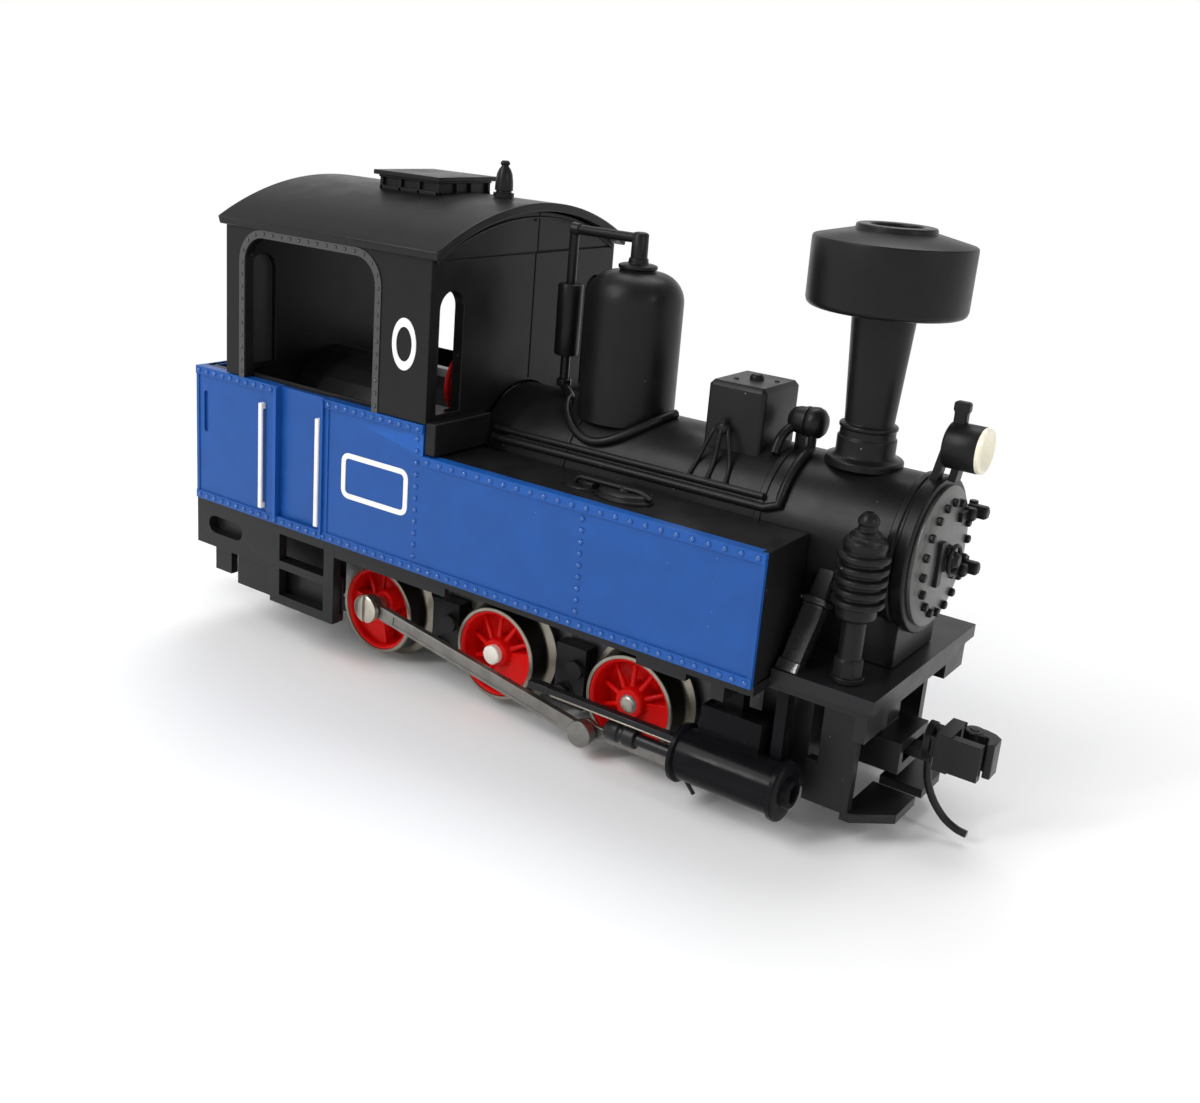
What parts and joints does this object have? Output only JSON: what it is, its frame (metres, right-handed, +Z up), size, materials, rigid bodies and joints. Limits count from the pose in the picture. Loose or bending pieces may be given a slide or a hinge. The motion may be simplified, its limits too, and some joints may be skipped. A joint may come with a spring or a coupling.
{
  "type": "model train",
  "caption": "Small blue and black narrow-gauge tank locomotive with cab, wide chimney, spoked red wheels, main rods and knuckle couplers.",
  "frame": {"origin": "on the floor under the middle of the model, level with the bottom of the wheel flanges", "axes": "+X is forward, towards the chimney; +Y is to the left; +Z is up"},
  "size_m": [0.0716, 0.0234, 0.0409],
  "materials": {
    "black_plastic": "satin black",
    "blue_plastic": "satin blue",
    "red_plastic": "bright red",
    "lens": "milky cream lens",
    "nickel": "nickel plate",
    "steel": "plain steel",
    "brass": "cut brass",
    "bronze": "springy bronze strip",
    "die_cast_zinc": "raw casting"
  },
  "bodies": {
    "locomotive": {"keeper_plate": "black_plastic", "running_plate": "black_plastic", "cylinder_right": "black_plastic", "cylinder_left": "black_plastic", "coupler_box_front": "black_plastic", "coupler_box_rear": "black_plastic", "cab": "black_plastic", "cab_roof": "black_plastic", "roof_ventilator": "black_plastic", "whistle": "black_plastic", "motor_cover": "black_plastic", "boiler": "black_plastic", "smokebox_door": "black_plastic", "chimney": "black_plastic", "steam_dome": "black_plastic", "dome_pipe": "black_plastic", "sand_box": "black_plastic", "headlamp": "black_plastic", "air_pump": "black_plastic", "side_tank_right": "blue_plastic", "side_tank_left": "blue_plastic", "bunker": "blue_plastic", "handwheel": "red_plastic", "headlamp_lens": "lens", "chassis_block": "die_cast_zinc", "ballast_weight": "die_cast_zinc", "motor_can": "nickel", "pickup_strip_right": "bronze", "pickup_strip_left": "bronze", "keeper_screw_front": "steel", "keeper_screw_rear": "steel"},
    "wheelset_rear": {"axle_rear": "steel", "axle_gear_rear": "brass", "wheel_rear_right": "red_plastic", "wheel_rear_left": "red_plastic", "crankpin_screw_right": "steel", "crankpin_screw_left": "steel"},
    "wheelset_middle": {"axle_middle": "steel", "axle_gear_middle": "brass", "wheel_middle_right": "red_plastic", "wheel_middle_left": "red_plastic"},
    "wheelset_front": {"axle_front": "steel", "axle_gear_front": "brass", "wheel_front_right": "red_plastic", "wheel_front_left": "red_plastic"},
    "idler_rear": {"idler_gear_rear": "black_plastic"},
    "idler_front": {"idler_gear_front": "black_plastic"},
    "worm_gear": {"worm_wheel": "black_plastic"},
    "rotor": {"armature": "steel", "worm": "brass"},
    "rod_right": {"main_rod_right": "steel"},
    "slide_right": {"crosshead_right": "steel"},
    "rod_left": {"main_rod_left": "steel"},
    "slide_left": {"crosshead_left": "steel"},
    "coupling_front": {"coupler_front": "black_plastic"},
    "jaw_front": {"knuckle_front": "black_plastic"},
    "coupling_rear": {"coupler_rear": "black_plastic"},
    "jaw_rear": {"knuckle_rear": "black_plastic"}
  },
  "joints": [
    {"name": "rear_axle_spin", "type": "hinge", "parent": "locomotive", "child": "wheelset_rear", "pos_m": [-0.01335, 0, 0.00445], "axis": [0, 1, 0], "continuous": true},
    {"name": "middle_axle_spin", "type": "hinge", "parent": "locomotive", "child": "wheelset_middle", "pos_m": [-0.00095, 0, 0.00445], "axis": [0, 1, 0], "continuous": true},
    {"name": "front_axle_spin", "type": "hinge", "parent": "locomotive", "child": "wheelset_front", "pos_m": [0.01145, 0, 0.00445], "axis": [0, 1, 0], "continuous": true},
    {"name": "rear_idler_spin", "type": "hinge", "parent": "locomotive", "child": "idler_rear", "pos_m": [-0.00715, 0, 0.00445], "axis": [0, 1, 0], "continuous": true},
    {"name": "front_idler_spin", "type": "hinge", "parent": "locomotive", "child": "idler_front", "pos_m": [0.00525, 0, 0.00445], "axis": [0, 1, 0], "continuous": true},
    {"name": "worm_gear_spin", "type": "hinge", "parent": "locomotive", "child": "worm_gear", "pos_m": [-0.00095, 0, 0.00985], "axis": [0, 1, 0], "continuous": true},
    {"name": "motor_spin", "type": "hinge", "parent": "locomotive", "child": "rotor", "pos_m": [-0.00095, 0, 0.01415], "axis": [1, 0, 0], "continuous": true},
    {"name": "rod_turn_right", "type": "hinge", "parent": "wheelset_rear", "child": "rod_right", "pos_m": [-0.0122, 0, 0.00556], "axis": [0, 1, 0], "continuous": true},
    {"name": "crosshead_slide_right", "type": "slide", "parent": "locomotive", "child": "slide_right", "axis": [1, 0, 0], "range_m": [-0.0026, 0.0006]},
    {"name": "rod_turn_left", "type": "hinge", "parent": "wheelset_rear", "child": "rod_left", "pos_m": [-0.01446, 0, 0.0056], "axis": [0, 1, 0], "continuous": true},
    {"name": "crosshead_slide_left", "type": "slide", "parent": "locomotive", "child": "slide_left", "axis": [1, 0, 0], "range_m": [-0.00033, 0.00287]},
    {"name": "coupler_swing_front", "type": "hinge", "parent": "locomotive", "child": "coupling_front", "pos_m": [0.0276, 0, 0.0056], "axis": [0, 0, 1], "range_deg": [-10, 10], "stiffness_Nm_per_rad": 0.0001},
    {"name": "knuckle_open_front", "type": "hinge", "parent": "coupling_front", "child": "jaw_front", "pos_m": [0.034, 0.00095, 0.0066], "axis": [0, 0, 1], "range_deg": [0, 20], "stiffness_Nm_per_rad": 0.00002},
    {"name": "coupler_swing_rear", "type": "hinge", "parent": "locomotive", "child": "coupling_rear", "pos_m": [-0.0276, 0, 0.0056], "axis": [0, 0, 1], "range_deg": [-10, 10], "stiffness_Nm_per_rad": 0.0001},
    {"name": "knuckle_open_rear", "type": "hinge", "parent": "coupling_rear", "child": "jaw_rear", "pos_m": [-0.034, 0.00095, 0.0066], "axis": [0, 0, 1], "range_deg": [-20, 0], "stiffness_Nm_per_rad": 0.00002}
  ],
  "couplings": [
    {"joint": "middle_axle_spin", "follows": "rear_axle_spin", "ratio": 1},
    {"joint": "front_axle_spin", "follows": "rear_axle_spin", "ratio": 1},
    {"joint": "rear_idler_spin", "follows": "rear_axle_spin", "ratio": -0.9375},
    {"joint": "front_idler_spin", "follows": "rear_axle_spin", "ratio": -0.9375},
    {"joint": "worm_gear_spin", "follows": "rear_axle_spin", "ratio": -1.25},
    {"joint": "motor_spin", "follows": "rear_axle_spin", "ratio": 25},
    {"joint": "rod_turn_right", "follows": "rear_axle_spin", "ratio": -1},
    {"joint": "rod_turn_left", "follows": "rear_axle_spin", "ratio": -1}
  ]
}
